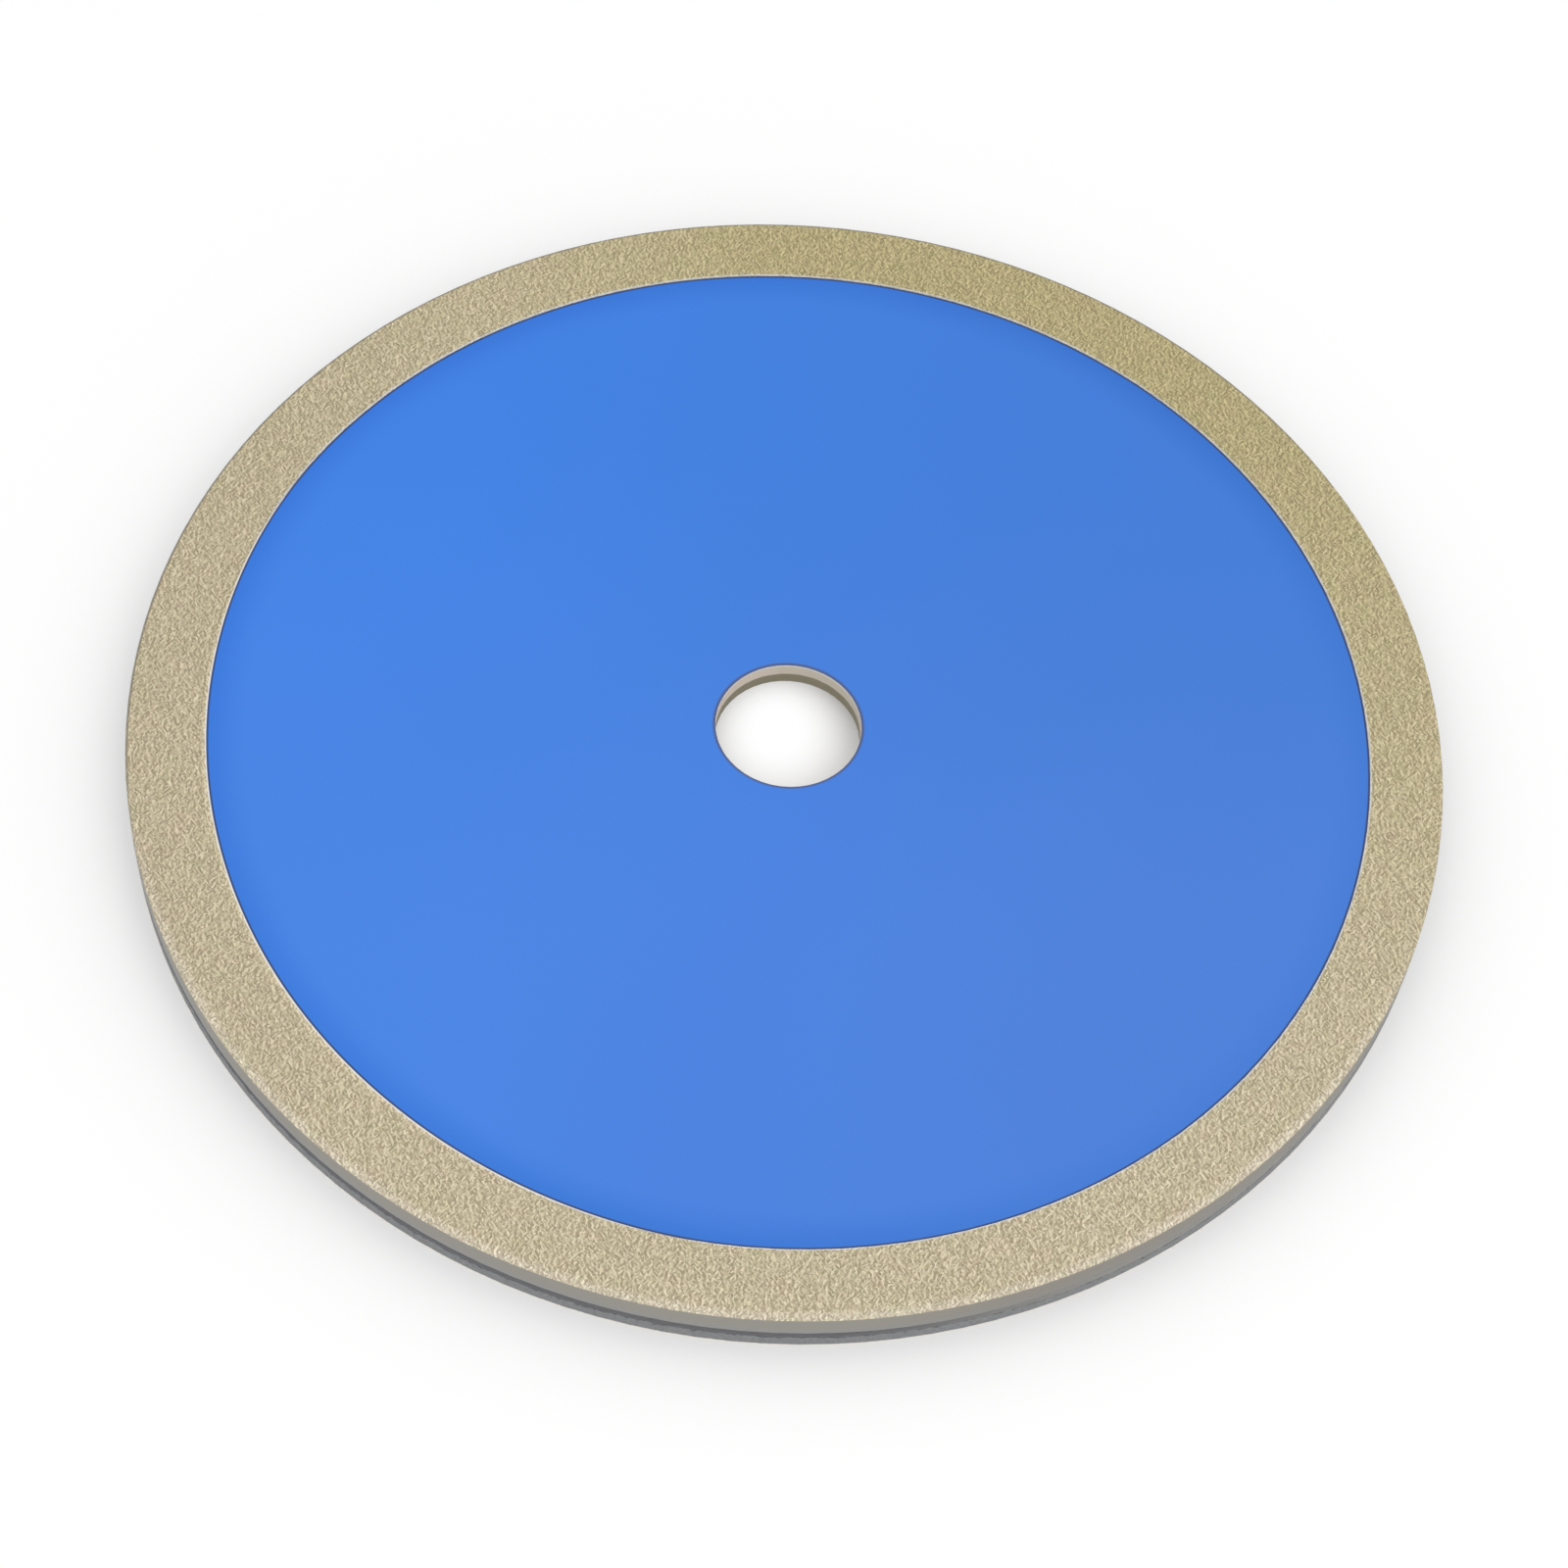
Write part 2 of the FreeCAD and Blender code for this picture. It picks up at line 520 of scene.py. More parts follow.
        # Painted shade round the bore's front edge.
        shaded_edge_line = graph.step(place.radius, *sizes.from_bore_edge(self.bore_edge_shade_span))
        colour = graph.shade(graph.mix(shaded_edge_line, colour, self.bore_edge_shade), level)
        seam_from = graph.math("SUBTRACT", line, self.seam_width + self.seam_soft)
        seam = graph.step(place.radius, seam_from, graph.math("ADD", seam_from, 2 * self.seam_soft))
        return graph.mix(seam, colour, self.seam)

    def bare_wall(self, graph: Graph, place: Place, sizes: BladeSizes, turned: Socket) -> Socket:
        """Colour the bare wall of the bore: painted light and shade give a bright band, lighter on the
        left, over a dark one, and a painted highlight along the lip.

        Args:
            graph: the material's graph.
            place: the place on the blade.
            sizes: the blade's sizes.
            turned: the fine lines left by turning.

        Returns:
            The colour.
        """
        wobble = graph.noise(place.point, self.wobble_scale, 2.0)
        height = graph.stir(place.height, wobble, self.wobble_depth)
        upper = graph.step(height, self.bare_split - self.split_soft, self.bare_split + self.split_soft)
        # Painted light: the bright upper band, lighter to the left; painted shade: the dark lower band.
        to_right = graph.step(place.along, *self.steel_light_span)
        bright = graph.mix(to_right, self.lit_steel_left, self.lit_steel_right)
        bare = graph.mix(upper, self.shaded_steel, bright)
        bare = graph.shade(bare, graph.sway(turned, self.turned_sway))
        # Painted highlight along the top of the wall.
        lip_foot = sizes.half_core - sizes.front_break - self.lip_height
        lip_highlight = graph.step(place.height, lip_foot, lip_foot + self.lip_soft)
        return graph.mix(graph.math("MULTIPLY", lip_highlight, self.lip_share), bare, self.lip_highlight)

    def painted(self, graph: Graph, place: Place, sizes: BladeSizes) -> Socket:
        """Tell the painted faces from the bare bore, whose cone at the back is bare too.

        Args:
            graph: the material's graph.
            place: the place on the blade.
            sizes: the blade's sizes.

        Returns:
            1 on the paint and 0 on the bare steel.
        """
        bore, cone = sizes.bore_radius, sizes.bore_radius + sizes.back_lead_in
        front = graph.step(place.radius, *(bore + part for part in self.front_paint_span))
        back = graph.step(place.radius, *(cone + part for part in self.back_paint_span))
        return graph.blend(graph.math("LESS_THAN", place.height, 0.0), front, back)


@dataclass(frozen=True)
class SinteredRim:
    """Sand-coloured granular faces and a turned grey edge with two lands. Lengths are in millimetres."""

    # Painted light and shade on the grains' flanks, over the sinter's own sand colour.
    shaded_flank: Colour = tone(165, 151, 120)
    lit_flank: Colour = tone(237, 224, 192)
    # Painted highlight: the grains are paler by the outer edge on the near side.
    highlight_shaded_flank: Colour = tone(184, 171, 146)
    highlight_lit_flank: Colour = tone(252, 241, 216)
    highlight_radius_span: Span = (88.3, 89.6)
    highlight_near_span: Span = (-15.0, -55.0)

    cast_scale: float = 0.42
    green_cast: Colour = (0.98, 1.0, 0.96, 1.0)
    green_span: Span = (0.45, 0.3)
    rosy_cast: Colour = (1.01, 0.985, 1.0, 1.0)
    rosy_span: Span = (0.55, 0.7)
    # Painted shade: the far side is darker and yellower, and the left a little darker.
    far_shade_filter: Colour = (0.82, 0.805, 0.59, 1.0)
    left_shade_filter: Colour = (0.95, 0.943, 0.94, 1.0)
    left_shade_span: Span = (-30.0, -88.0)

    # A painted shade line along the far outer edge.
    shaded_edge_line: Colour = tone(132, 126, 112)
    outline_lean: float = -0.5
    outline_side_span: Span = (0.0, 40.0)
    outline_span: Span = (89.58, 89.7)
    outline_share: float = 0.8
    inner_wall: Colour = tone(206, 205, 198)
    wall_depth: float = 0.02
    wall_shown_span: Span = (-0.15, -0.05)
    # A pale line along the bond, weaker on the far side in painted shade.
    pale_edge: Colour = tone(232, 233, 232)
    pale_width: float = 0.2
    pale_soft: float = 0.06
    pale_share: float = 0.88
    pale_far_shade: float = 0.25
    broken_scale: float = 1.1
    broken_depth: float = 0.3
    lap: float = 0.98
    lap_turn: float = 210.0
    lap_span: Span = (0.5, 1.05)

    worms: float = 2.65
    worm_length: float = 1.6
    worm_leans: tuple[float, float, float] = (-0.5, 0.1, 0.7)
    worm_flank: float = 0.23
    worm_bend: float = 0.3
    worm_span: Span = (-0.36, 0.36)
    patch_scale: float = 1.5
    patch_left_span: Span = (0.42, 0.46)
    patch_right_span: Span = (0.54, 0.58)
    grain_depth: float = 0.2

    land: Colour = tone(152, 148, 139)
    land_foot: Colour = tone(151, 151, 149)
    land_foot_from: float = 1.6
    land_sway: float = 0.1
    # Painted shade: the land darkens towards the right.
    right_shade_filter: Colour = (0.89, 0.87, 0.86, 1.0)
    right_shade_span: Span = (10.0, 45.0)
    lower_land: Colour = tone(134, 136, 138)
    lower_sway: float = 0.9
    coarse_scale: float = 2.6
    coarse_bend: float = 0.4
    coarse_depth: float = 0.12
    ragged_depth: float = 0.24
    ragged_soft: float = 0.06
    inner_band: float = 2.0

    groove: Colour = tone(147, 147, 150)
    # The groove is lighter towards the right.
    groove_right: Colour = tone(190, 188, 184)
    groove_right_span: Span = (12.0, 50.0)
    groove_lap: float = 0.05
    groove_soft: float = 0.02
    recess: float = 0.03
    # Painted shade: ragged dark teeth below the groove stand in for its shadow.
    ragged_groove_shade: Colour = tone(98, 98, 102)
    notch_scale: float = 1.2
    notch_depth: float = 2.2
    ragged_shade_span: Span = (-0.16, -0.04)

    metal: float = 0.12
    edge_gloss: float = 0.45
    face_gloss: float = 0.5

    def material(self, sizes: BladeSizes) -> bpy.types.Material:
        """Make the material.

        Args:
            sizes: the blade's sizes.

        Returns:
            The material for the rim.
        """
        finish = Finish("sintered_rim")
        graph, place = finish.graph, finish.place

        grain_and_flank_light = self.grain(graph, place)
        coarse = graph.noise(place.point, self.coarse_scale, 3.0, self.coarse_bend)
        ragged = graph.stir(graph.math("ABSOLUTE", place.height), coarse, self.ragged_depth)
        break_foot = sizes.half_rim - sizes.outer_break
        flat = graph.step(ragged, break_foot - self.ragged_soft, break_foot)
        inner = graph.math("LESS_THAN", place.radius, sizes.bond_radius + self.inner_band)
        on_face = graph.math("MAXIMUM", flat, inner)

        line = self.bond_line(graph, place, sizes)
        face = self.face(graph, place, line, grain_and_flank_light)
        bare_wall = graph.step(line, *(sizes.bond_radius + part for part in self.wall_shown_span))
        on_wall = graph.math("LESS_THAN", place.radius, sizes.bond_radius + self.wall_depth)
        face = graph.mix(graph.math("MULTIPLY", on_wall, bare_wall), face, self.inner_wall)

        relief = graph.math("MULTIPLY", grain_and_flank_light, on_face)
        is_lower = graph.math("LESS_THAN", place.height, sizes.groove_foot + self.groove_soft)
        off_face = graph.math("SUBTRACT", 1.0, on_face)
        rough_land = graph.math("MULTIPLY", coarse, graph.math("MULTIPLY", is_lower, off_face))
        finish.give(
            Base_Color=graph.mix(on_face, self.edge(graph, place, sizes, coarse, is_lower), face),
            Metallic=self.metal,
            Roughness=graph.blend(on_face, self.edge_gloss, self.face_gloss),
            Normal=graph.bump(rough_land, self.coarse_depth, graph.bump(relief, self.grain_depth)),
        )
        return finish.material

    def worm_field(self, graph: Graph, place: Place, lean: float) -> Socket:
        """Lay short worms that all lean one way, each with a flank in painted light and one in painted
        shade, as if lit from one side.

        Args:
            graph: the material's graph.
            place: the place on the blade.
            lean: how far the worms lean, as run over rise.

        Returns:
            The painted light or shade of the flanks, about 0.
        """
        run = graph.math("MULTIPLY_ADD", place.across, lean, place.along)
        rise = graph.math("DIVIDE", place.across, self.worm_length)
        flanks = []
        for shift in (0.0, self.worm_flank):
            shifted = graph.node("ShaderNodeCombineXYZ")
            graph.feed(shifted.inputs[0], graph.math("ADD", run, shift))
            graph.feed(shifted.inputs[1], rise)
            graph.feed(shifted.inputs[2], place.height)
            flanks.append(graph.noise(shifted.outputs[0], self.worms, 0.0, self.worm_bend))
        return graph.math("SUBTRACT", *flanks)

    def grain(self, graph: Graph, place: Place) -> Socket:
        """Mix worms that lean left, stand straight and lean right, in small patches.

        Args:
            graph: the material's graph.
            place: the place on the blade.

        Returns:
            0 on flanks in painted shade and 1 on flanks in painted light; the same field bumps the
            grains.
        """
        left, straight, right = (self.worm_field(graph, place, lean) for lean in self.worm_leans)
        patch = graph.noise(place.point, self.patch_scale, 1.0)
        field = graph.blend(graph.step(patch, *self.patch_left_span), left, straight)
        field = graph.blend(graph.step(patch, *self.patch_right_span), field, right)
        return graph.step(field, *self.worm_span)

    def bond_line(self, graph: Graph, place: Place, sizes: BladeSizes) -> Socket:
        """Give the radius where the sand begins: on the front's lower left it laps over the paint.

        Args:
            graph: the material's graph.
            place: the place on the blade.
            sizes: the blade's sizes.

        Returns:
            The radius, in millimetres.
        """
        turn = math.radians(self.lap_turn)
        run = graph.math("MULTIPLY", place.along, math.cos(turn))
        towards = graph.math("MULTIPLY_ADD", place.across, math.sin(turn), run)
        share = graph.step(towards, *(sizes.bond_radius * part for part in self.lap_span))
        on_front = graph.math("GREATER_THAN", place.height, 0.0)
        return graph.math(
            "MULTIPLY_ADD", graph.math("MULTIPLY", share, on_front), -self.lap, sizes.bond_radius
        )

    def face(self, graph: Graph, place: Place, line: Socket, grain_and_flank_light: Socket) -> Socket:
        """Colour the rim's faces: worm-like grains whose flanks carry painted light and shade, a painted
        highlight by the outer edge on the near side, painted shade that makes the far side darker and
        yellower and the left a little darker, a painted shade line on the far outer edge, and a pale
        line along the bond that fades on the far side.

        Args:
            graph: the material's graph.
            place: the place on the blade.
            line: the radius where the sand begins.
            grain_and_flank_light: 0 on flanks in painted shade and 1 on flanks in painted light.

        Returns:
            The colour.
        """
        far = far_shade_share(graph, place)
        # Painted highlight near the outer edge on the near side.
        near = graph.step(place.across, *self.highlight_near_span)
        outer = graph.math("MULTIPLY", graph.step(place.radius, *self.highlight_radius_span), near)
        shaded_flank = graph.mix(outer, self.shaded_flank, self.highlight_shaded_flank)
        sand = graph.mix(grain_and_flank_light, shaded_flank, graph.mix(outer, self.lit_flank, self.highlight_lit_flank))
        cast = graph.noise(place.point, self.cast_scale, 1.0)
        sand = graph.tint(graph.step(cast, *self.green_span), sand, self.green_cast)
        sand = graph.tint(graph.step(cast, *self.rosy_span), sand, self.rosy_cast)
        # Painted shade: darker and yellower far side, slightly darker left.
        sand = graph.tint(far, sand, self.far_shade_filter)
        sand = graph.tint(graph.step(place.along, *self.left_shade_span), sand, self.left_shade_filter)

        # Painted shade line along the far outer edge.
        far_left = graph.math("MULTIPLY_ADD", place.along, self.outline_lean, place.across)
        far_line = graph.math(
            "MULTIPLY",
            graph.step(place.radius, *self.outline_span),
            graph.step(far_left, *self.outline_side_span),
        )
        sand = graph.mix(graph.math("MULTIPLY", far_line, self.outline_share), sand, self.shaded_edge_line)
        # Pale line along the bond, weaker on the far side in painted shade.
        broken = graph.noise(place.point, self.broken_scale, 1.0)
        inside = graph.stir(graph.math("ADD", line, self.pale_width), broken, self.broken_depth)
        away = graph.math("SUBTRACT", place.radius, inside)
        pale = graph.math("SUBTRACT", 1.0, graph.step(away, -self.pale_soft, self.pale_soft))
        kept = graph.math("MULTIPLY_ADD", far, -self.pale_far_shade, self.pale_share)
        return graph.mix(graph.math("MULTIPLY", pale, kept), sand, self.pale_edge)

    def edge(
        self, graph: Graph, place: Place, sizes: BladeSizes, coarse: Socket, is_lower: Socket
    ) -> Socket:
        """Colour the rim's outside: a smooth land that darkens to the right in painted shade, a dark
        groove that is lighter to the right, ragged painted shade below the groove, and a rough land.

        Args:
            graph: the material's graph.
            place: the place on the blade.
            sizes: the blade's sizes.
            coarse: the lower land's roughness.
            is_lower: 1 below the groove.

        Returns:
            The colour.
        """
        lines = graph.noise(round_lines(graph, place), 1.0, 3.0)
        foot = graph.step(place.height, self.land_foot_from, sizes.land_foot)
        land = graph.mix(foot, self.land, self.land_foot)
        land = graph.shade(land, graph.sway(lines, self.land_sway))
        # Painted shade: the land darkens towards the right.
        land = graph.tint(graph.step(place.along, *self.right_shade_span), land, self.right_shade_filter)
        lower = graph.shade(self.lower_land, graph.sway(coarse, self.lower_sway))
        edge = graph.mix(is_lower, land, lower)

        # Painted shade: ragged dark teeth below the groove.
        notches = graph.noise(place.point, self.notch_scale, 2.0)
        teeth = graph.stir(place.height, notches, self.notch_depth)
        ragged_shade = graph.step(teeth, *(sizes.groove_foot + part for part in self.ragged_shade_span))
        edge = graph.mix(graph.math("MULTIPLY", ragged_shade, is_lower), edge, self.ragged_groove_shade)

        recess_from = sizes.rim_radius - sizes.lower_inset - self.recess
        recess = graph.math("LESS_THAN", place.radius, recess_from)
        in_groove = graph.between(
            place.height, sizes.groove_foot - self.groove_lap, sizes.land_foot, self.groove_soft
        )
        # The groove lightens towards the right.
        rightwards = graph.step(place.along, *self.groove_right_span)
        groove = graph.mix(rightwards, self.groove, self.groove_right)
        return graph.mix(graph.math("MULTIPLY", recess, in_groove), edge, groove)


def round_lines(graph: Graph, place: Place) -> Socket:
    """Stretch the place round the axis, so that noise on it runs in turned lines.

    Args:
        graph: the material's graph.
        place: the place on the blade.

    Returns:
        The stretched place.
    """
    stretched = graph.node("ShaderNodeVectorMath", operation="MULTIPLY")
    graph.feed(stretched.inputs[0], place.point)
    graph.feed(stretched.inputs[1], TURNED_STRETCH)
    return stretched.outputs[0]


def far_shade_share(graph: Graph, place: Place) -> Socket:
    """Tell how far a point is towards the far side of the ring, most of all on the right, where painted
    shade makes the rim darker and yellower.

    Args:
        graph: the material's graph.
        place: the place on the blade.

    Returns:
        The share, 0 at the near side to 1 at the far right.
    """
    leaning = graph.math("MULTIPLY_ADD", place.along, FAR_LEAN, place.across)
    on_left = graph.step(place.along, *FAR_LEFT_SPAN)
    eased = graph.math("MULTIPLY_ADD", on_left, -FAR_LEFT_EASE, 1.0)
    return graph.math("MULTIPLY", graph.step(leaning, *FAR_SPAN), eased)


@dataclass(frozen=True)
class GritFinish:
    """Diamond grains: each has its own tone, and their flat sides glint."""

    name: str = "diamond_grit"
    dull: Colour = tone(176, 164, 133)
    bright: Colour = tone(242, 233, 211)
    blotch_scale: float = 6.0
    blotch_sway: float = 0.2
    metal: float = 0.1
    dull_gloss: float = 0.5
    bright_gloss: float = 0.22

    def material(self) -> bpy.types.Material:
        """Make the material.

        Returns:
            The material for the grains.
        """
        finish = Finish(self.name)
        graph, place = finish.graph, finish.place
        own = graph.node("ShaderNodeAttribute", attribute_name=GritCoat.TONE)
        colour = graph.mix(own.outputs["Fac"], self.dull, self.bright)
        # Painted shade: far-side grains are darker and yellower, as the sand is.
        colour = graph.tint(far_shade_share(graph, place), colour, SinteredRim.far_shade_filter)
        blotch = graph.noise(place.point, self.blotch_scale)
        finish.give(
            Base_Color=graph.shade(colour, graph.sway(blotch, self.blotch_sway)),
            Metallic=self.metal,
            Roughness=graph.blend(own.outputs["Fac"], self.dull_gloss, self.bright_gloss),
        )
        return finish.material


class Zone(Enum):
    """Where a coat of grit lies on the rim."""

    FRONT = "grit_front"
    BACK = "grit_back"
    FRONT_EDGE = "grit_front_edge"
    LOWER_LAND = "grit_lower_land"


@dataclass
class GritCoat:
    """A coat of half-buried diamond grains on one zone of the rim."""

    TONE = "tone"
    TURNS = 180
    CRYSTAL_SIDES = 4
    CRYSTAL_RINGS = 2
    TURN_SEED = 1
    GIRTH_SEED = 2
    TONE_SEED = 3

    zone: Zone
    section: tuple[Span, Span]
    spacing: float
    crowd: float
    smallest: float
    largest: float
    seed: int

    def host(self) -> bpy.types.Object:
        """Turn the zone's line round the axis, to carry the grains.

        Returns:
            An open band, just under the rim's surface.
        """
        verts: list[tuple[float, float, float]] = []
        for turn in range(self.TURNS):
            angle = math.tau * turn / self.TURNS
            for radius, height in self.section:
                verts.append((radius * MM * math.cos(angle), radius * MM * math.sin(angle), height * MM))
        count = len(verts)
        faces = [(2 * n, (2 * n + 2) % count, (2 * n + 3) % count, 2 * n + 1) for n in range(self.TURNS)]
        mesh = bpy.data.meshes.new(self.zone.value)
        mesh.from_pydata(verts, [], faces)
        piece = bpy.data.objects.new(self.zone.value, mesh)
        bpy.context.scene.collection.objects.link(piece)
        return piece

    @classmethod
    def tree(cls) -> bpy.types.GeometryNodeTree:
        """Build the tree that scatters grains on a surface.

        Returns:
            The tree, with its inputs named.
        """
        tree = bpy.data.node_groups.new("diamond_grains", "GeometryNodeTree")
        for name, kind in (
            ("Surface", "NodeSocketGeometry"),
            ("Spacing", "NodeSocketFloat"),
            ("Crowd", "NodeSocketFloat"),
            ("Smallest", "NodeSocketFloat"),
            ("Largest", "NodeSocketFloat"),
            ("Seed", "NodeSocketInt"),
            ("Finish", "NodeSocketMaterial"),
        ):
            tree.interface.new_socket(name, in_out="INPUT", socket_type=kind)
        tree.interface.new_socket("Grains", in_out="OUTPUT", socket_type="NodeSocketGeometry")
        graph = Graph(tree)
        given = graph.node("NodeGroupInput").outputs

        scatter = graph.node("GeometryNodeDistributePointsOnFaces", distribute_method="POISSON")
        graph.feed(scatter.inputs["Mesh"], given["Surface"])
        graph.feed(scatter.inputs["Distance Min"], given["Spacing"])
        graph.feed(scatter.inputs["Density Max"], given["Crowd"])
        graph.feed(scatter.inputs["Seed"], given["Seed"])

        crystal = graph.node("GeometryNodeMeshUVSphere")
        graph.feed(crystal.inputs["Segments"], cls.CRYSTAL_SIDES)
        graph.feed(crystal.inputs["Rings"], cls.CRYSTAL_RINGS)

        turn = graph.node("FunctionNodeRandomValue", data_type="FLOAT_VECTOR")
        graph.feed(turn.inputs["Max"], Vector((math.tau, math.tau, math.tau)))
        graph.feed(turn.inputs["Seed"], cls.TURN_SEED)
        girth = graph.node("FunctionNodeRandomValue", data_type="FLOAT_VECTOR")
        graph.feed(girth.inputs["Min"], given["Smallest"])
        graph.feed(girth.inputs["Max"], given["Largest"])
        graph.feed(girth.inputs["Seed"], cls.GIRTH_SEED)

        place = graph.node("GeometryNodeInstanceOnPoints")
        graph.feed(place.inputs["Points"], scatter.outputs["Points"])
        graph.feed(place.inputs["Instance"], crystal.outputs["Mesh"])
        graph.feed(place.inputs["Rotation"], turn.outputs["Value"])
        graph.feed(place.inputs["Scale"], girth.outputs["Value"])

        own_tone = graph.node("FunctionNodeRandomValue", data_type="FLOAT")
        graph.feed(own_tone.inputs["Seed"], cls.TONE_SEED)
        stored = graph.node("GeometryNodeStoreNamedAttribute", data_type="FLOAT", domain="INSTANCE")
        graph.feed(stored.inputs["Geometry"], place.outputs["Instances"])
        graph.feed(stored.inputs["Name"], cls.TONE)
        value = next(item for item in stored.inputs if item.name == "Value" and item.enabled)
        graph.feed(value, next(item for item in own_tone.outputs if item.enabled))

        real = graph.node("GeometryNodeRealizeInstances")
        graph.feed(real.inputs["Geometry"], stored.outputs["Geometry"])
        coloured = graph.node("GeometryNodeSetMaterial")
        graph.feed(coloured.inputs["Geometry"], real.outputs["Geometry"])
        graph.feed(coloured.inputs["Material"], given["Finish"])
        output = graph.node("NodeGroupOutput")
        graph.feed(output.inputs["Grains"], coloured.outputs["Geometry"])
        return tree

    def build(self, tree: bpy.types.GeometryNodeTree, material: bpy.types.Material) -> bpy.types.Object:
        """Scatter the grains and turn them into a plain mesh.

        Args:
            tree: the tree that scatters grains.
            material: their material.

        Returns:
            The piece.
        """
        piece = self.host()
        modifier = piece.modifiers.new("grains", "NODES")
        modifier.node_group = tree
        given = {
            "Spacing": self.spacing * MM,
            "Crowd": self.crowd / MM**2,
            "Smallest": self.smallest * MM,
            "Largest": self.largest * MM,
            "Seed": self.seed,
            "Finish": material,
        }
        for item in tree.interface.items_tree:
            if item.name in given:
                modifier[item.identifier] = given[item.name]
        scattered = piece.evaluated_get(bpy.context.evaluated_depsgraph_get())
        mesh = bpy.data.meshes.new_from_object(scattered)
        piece.modifiers.clear()
        band = piece.data
        piece.data = mesh
        bpy.data.meshes.remove(band)
        mesh.name = self.zone.value
        return piece


@dataclass
class SteelCore:
    """The painted disc with the arbor hole."""

    sizes: BladeSizes
    finish: PaintedSteel = PaintedSteel()

    def dress(self) -> None:
        """Give the disc its paint and its bare bore."""
        put_material(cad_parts["steel_core"], self.finish.material(self.sizes))
        LOG.info("steel_core: painted faces, bare bore")


@dataclass
class DiamondRim:
    """The sintered ring and the grit in its faces. Lengths are in millimetres."""

    sizes: BladeSizes
    finish: SinteredRim = SinteredRim()
    grit: GritFinish = GritFinish()
    glints: GritFinish = GritFinish("edge_glints", tone(206, 197, 182), tone(248, 240, 234))
    bury: float = 0.11
    bond_clear: float = 0.45
    outer_clear: float = 0.35
    edge_head: Span = (0.3, 0.04)
    edge_foot: Span = (0.1, -0.06)
    groove_clear: float = 0.1
    foot_clear: float = 0.35

    def coats(self) -> list[GritCoat]:
        """List the coats of grit.

        Returns:
            One coat for each zone that shows grains.
        """
        sizes = self.sizes
        inner = sizes.bond_radius + self.bond_clear
        outer = sizes.rim_radius - self.outer_clear
        face = sizes.half_rim - self.bury
        low = sizes.rim_radius - sizes.lower_inset - self.bury
        head = (sizes.rim_radius - self.edge_head[0], face + self.edge_head[1])
        foot = (sizes.rim_radius - self.edge_foot[0], face + self.edge_foot[1])
        below_groove = (low, sizes.groove_foot - self.groove_clear)
        above_back = (low, -sizes.half_rim + self.foot_clear)
        return [
            GritCoat(
                Zone.FRONT, ((inner, face), (outer, face)),
                spacing=0.42, crowd=4.0, smallest=0.07, largest=0.19, seed=11,
            ),
            GritCoat(
                Zone.BACK, ((inner, -face), (outer, -face)),
                spacing=0.5, crowd=3.0, smallest=0.07, largest=0.19, seed=12,
            ),
            GritCoat(
                Zone.FRONT_EDGE, (head, foot),
                spacing=0.3, crowd=8.0, smallest=0.07, largest=0.15, seed=13,
            ),
            GritCoat(
                Zone.LOWER_LAND, (below_groove, above_back),
                spacing=0.4, crowd=5.0, smallest=0.07, largest=0.17, seed=14,
            ),
        ]

    def dress(self) -> None:
        """Give the ring its sinter and its turned edge, and scatter the grit."""
        put_material(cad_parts["diamond_rim"], self.finish.material(self.sizes))
        LOG.info("diamond_rim: granular faces, turned edge")
        tree = GritCoat.tree()
        plain, bright = self.grit.material(), self.glints.material()
        for coat in self.coats():
            piece = coat.build(tree, bright if coat.zone is Zone.FRONT_EDGE else plain)
            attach(piece, "root")
            LOG.info("%s: %d faces", piece.name, len(piece.data.polygons))
        bpy.data.node_groups.remove(tree)


@dataclass(frozen=True)
class Lamp:
    """A soft square lamp, aimed at the blade."""

    name: str
    place: tuple[float, float, float]
    width: float
    share: float

    def build(self) -> None:
        """Add the lamp, so bright that it adds its share of white to a card that faces it."""
        data = bpy.data.lights.new(self.name, "AREA")
        data.shape = "SQUARE"
        data.size = self.width
        away = Vector(self.place)
        data.energy = self.share * math.pi**2 * away.length_squared
        lamp = bpy.data.objects.new(self.name, data)
        lamp.location = away
        lamp.rotation_euler = away.to_track_quat("Z", "Y").to_euler()
        bpy.context.scene.collection.objects.link(lamp)


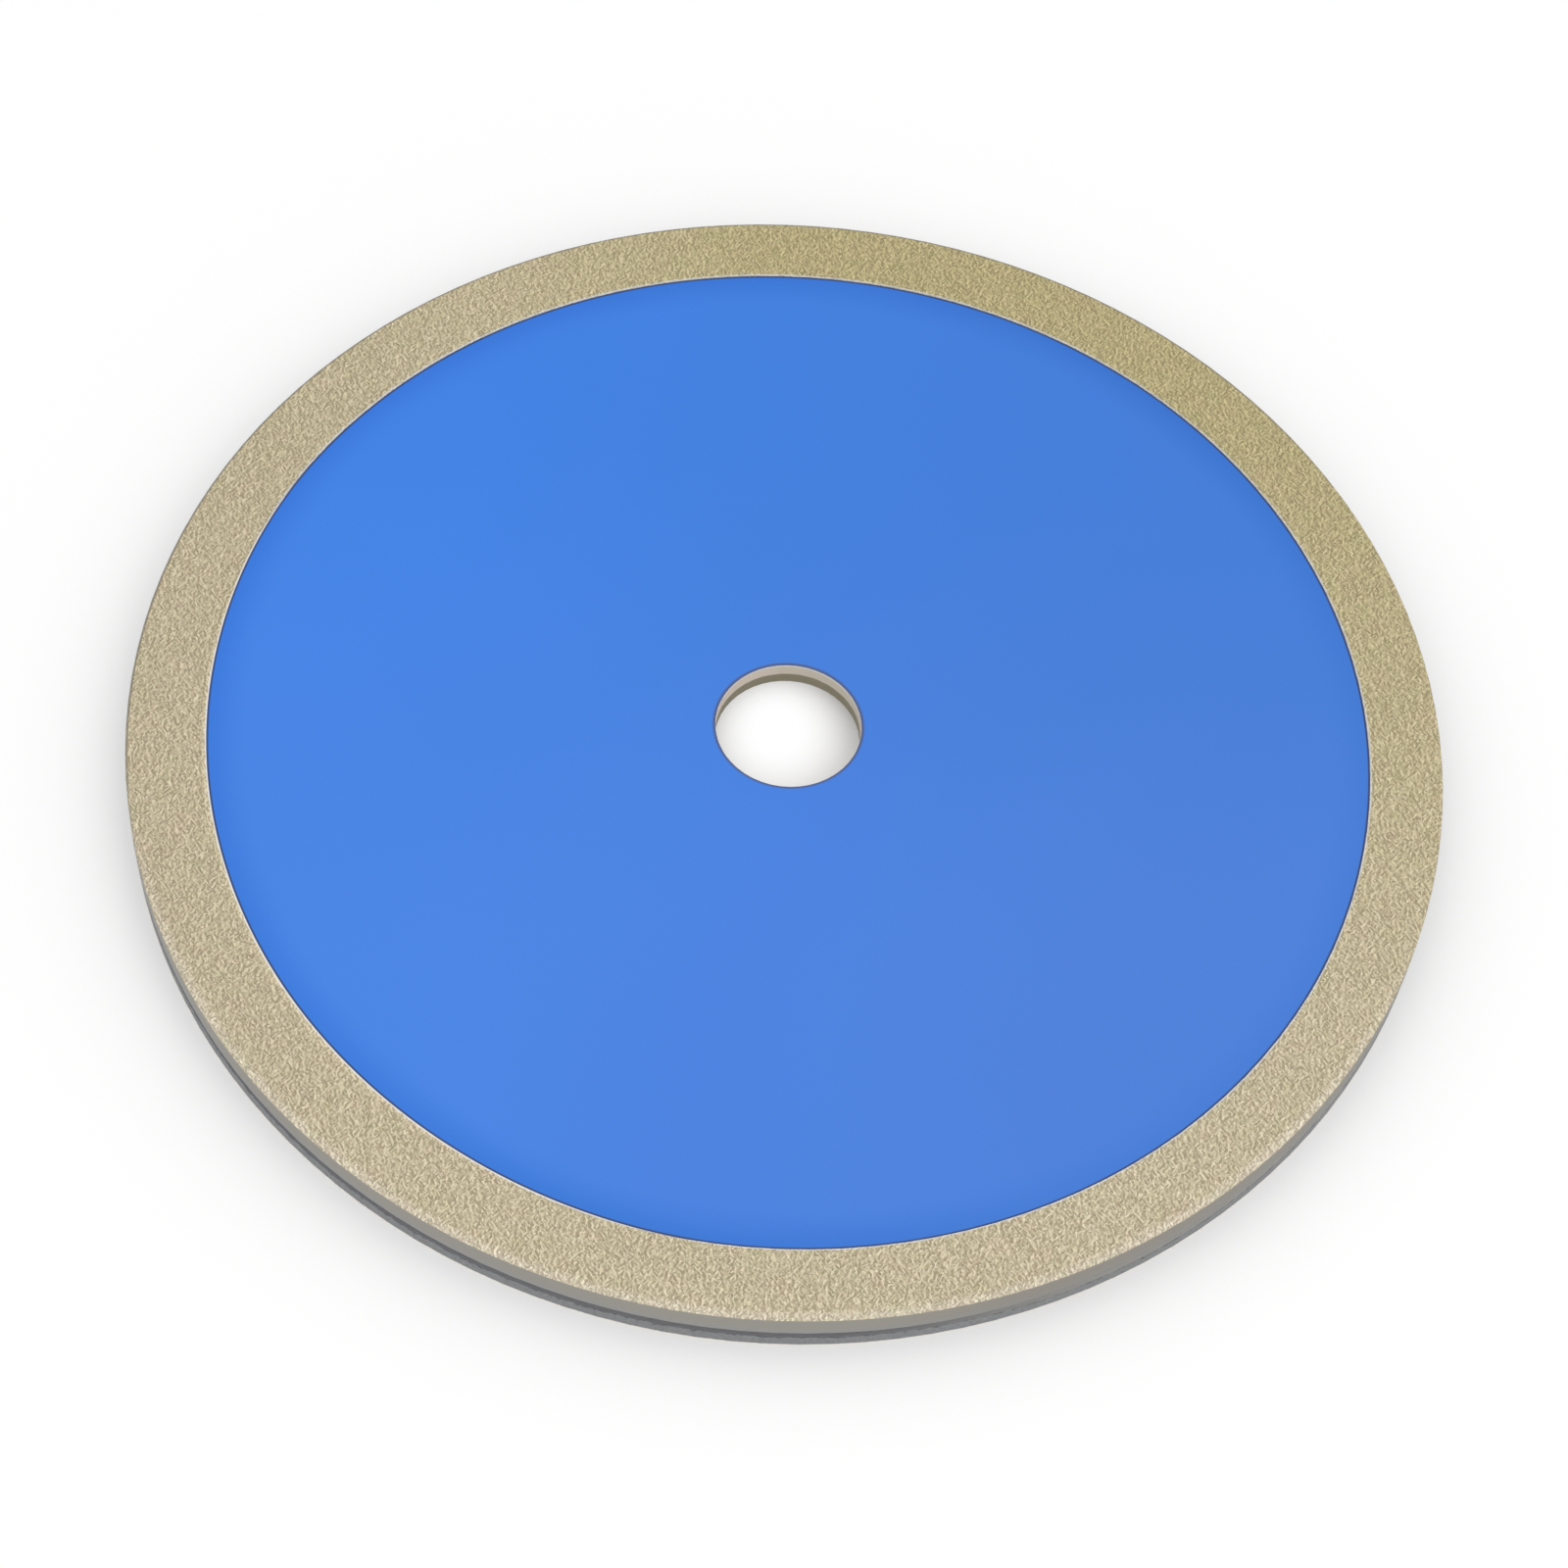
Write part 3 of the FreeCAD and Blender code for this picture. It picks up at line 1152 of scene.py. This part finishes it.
@dataclass
class Studio:
    """White floor, even soft light and one soft lamp."""

    sky: float = 0.955
    floor_width: float = 6.0
    floor_white: Colour = WHITE
    floor_bounce: Colour = (0.82, 0.82, 0.82, 1.0)
    floor_glow: float = 0.15
    hole_glow: float = 1.0
    hole_light: tuple[float, float] = (-1.8, 3.8)
    hole_light_span: Span = (3.0, 13.0)
    hole_light_narrow: float = 1.15
    lamps: tuple[Lamp, ...] = (Lamp("near_right_lamp", (0.45, -0.75, 0.7), 0.8, 0.11),)

    def build_floor(self, level: float) -> None:
        """Lay the floor just under the blade, washed out to white for the camera as in the picture.

        Args:
            level: the floor's height in metres.
        """
        half = self.floor_width / 2
        turns = ((-1, -1), (1, -1), (1, 1), (-1, 1))
        corners = [(x * half, y * half, level) for x, y in turns]
        mesh = bpy.data.meshes.new("floor")
        mesh.from_pydata(corners, [], [(0, 1, 2, 3)])
        floor = bpy.data.objects.new("floor", mesh)
        bpy.context.scene.collection.objects.link(floor)
        finish = Finish("floor_white")
        graph = finish.graph
        shader = graph.node("ShaderNodeBsdfDiffuse")
        seen = graph.node("ShaderNodeLightPath").outputs["Is Camera Ray"]
        graph.feed(shader.inputs["Color"], graph.mix(seen, self.floor_bounce, self.floor_white))
        narrow = graph.node("ShaderNodeVectorMath", operation="MULTIPLY")
        graph.feed(narrow.inputs[0], finish.place.point)
        graph.feed(narrow.inputs[1], Vector((self.hole_light_narrow, 1.0, 1.0)))
        away = graph.node("ShaderNodeVectorMath", operation="DISTANCE")
        graph.feed(away.inputs[0], narrow.outputs[0])
        graph.feed(away.inputs[1], Vector((*self.hole_light, level / MM)))
        outside = graph.step(away.outputs["Value"], *self.hole_light_span)
        washed = graph.math("MULTIPLY", seen, graph.blend(outside, self.hole_glow, self.floor_glow))
        both = graph.node("ShaderNodeMixShader")
        graph.feed(both.inputs[0], washed)
        graph.feed(both.inputs[1], shader.outputs[0])
        graph.feed(both.inputs[2], graph.node("ShaderNodeEmission").outputs[0])
        graph.feed(finish.output.inputs["Surface"], both.outputs[0])
        graph.tree.nodes.remove(finish.shader)
        mesh.materials.append(finish.material)
        floor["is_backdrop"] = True

    def build_sky(self) -> None:
        """Light the scene evenly, with white behind everything that is seen or mirrored."""
        world = bpy.data.worlds.new("sky")
        bpy.context.scene.world = world
        world.use_nodes = True
        graph = Graph(world.node_tree)
        even = graph.node("ShaderNodeBackground")
        graph.feed(even.inputs["Color"], WHITE)
        graph.feed(even.inputs["Strength"], self.sky)
        white = graph.node("ShaderNodeBackground")
        graph.feed(white.inputs["Color"], WHITE)
        graph.feed(white.inputs["Strength"], 1.0)
        path = graph.node("ShaderNodeLightPath")
        shown = graph.math("MAXIMUM", path.outputs["Is Camera Ray"], path.outputs["Is Glossy Ray"])
        shown = graph.math("MAXIMUM", shown, path.outputs["Is Transmission Ray"])
        both = graph.node("ShaderNodeMixShader")
        graph.feed(both.inputs[0], shown)
        graph.feed(both.inputs[1], even.outputs[0])
        graph.feed(both.inputs[2], white.outputs[0])
        output = graph.node("ShaderNodeOutputWorld")
        graph.feed(output.inputs["Surface"], both.outputs[0])

    def build(self) -> None:
        """Set the stage round the finished blade."""
        low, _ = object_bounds()
        self.build_floor(low.z)
        self.build_sky()
        for lamp in self.lamps:
            lamp.build()
        bpy.context.scene.view_settings.view_transform = "Standard"
        LOG.info("studio: floor at %.2f mm", low.z / MM)


@dataclass
class PhotoCamera:
    """The camera of the picture, as it stands to the front face of the rim."""

    focal_pixels: float = 4192.0
    picture_pixels: float = 1600.0
    sensor: float = 36.0
    tilt: float = 146.55
    roll: float = 5.44
    offset: tuple[float, float, float] = (0.0071, -0.0908, 6.2489)
    rim_radius: float = 90.0
    face_height: float = 3.55
    nearest: float = 0.01
    farthest: float = 20.0

    def build(self) -> None:
        """Place the camera and make it the scene's own."""
        turn = Matrix.Rotation(math.radians(self.roll), 3, "Z")
        lean = Matrix.Rotation(math.radians(self.tilt), 3, "X")
        seen_from = turn @ lean
        away = Vector(self.offset) * self.rim_radius * MM
        place = -(seen_from.transposed() @ away) + Vector((0.0, 0.0, self.face_height * MM))
        flip = Matrix.Diagonal(Vector((1.0, -1.0, -1.0)))
        data = bpy.data.cameras.new("camera")
        data.sensor_width = self.sensor
        data.lens = self.focal_pixels / self.picture_pixels * self.sensor
        data.clip_start = self.nearest
        data.clip_end = self.farthest
        camera = bpy.data.objects.new("camera", data)
        camera.matrix_world = Matrix.Translation(place) @ (seen_from.transposed() @ flip).to_4x4()
        bpy.context.scene.collection.objects.link(camera)
        bpy.context.scene.camera = camera
        LOG.info("camera: %.0f mm lens, %.3f m away", data.lens, place.length)


def put_material(piece: bpy.types.Object, material: bpy.types.Material) -> None:
    """Give every slot of a piece one material.

    Args:
        piece: the piece.
        material: its new material.
    """
    for slot in piece.material_slots:
        slot.material = material


def main() -> None:
    """Dress the blade, then set the studio and the camera."""
    logging.basicConfig(level=logging.INFO, format="%(message)s")
    sizes = BladeSizes()
    SteelCore(sizes).dress()
    DiamondRim(sizes).dress()
    Studio().build()
    PhotoCamera().build()


if __name__ == "__main__":
    main()
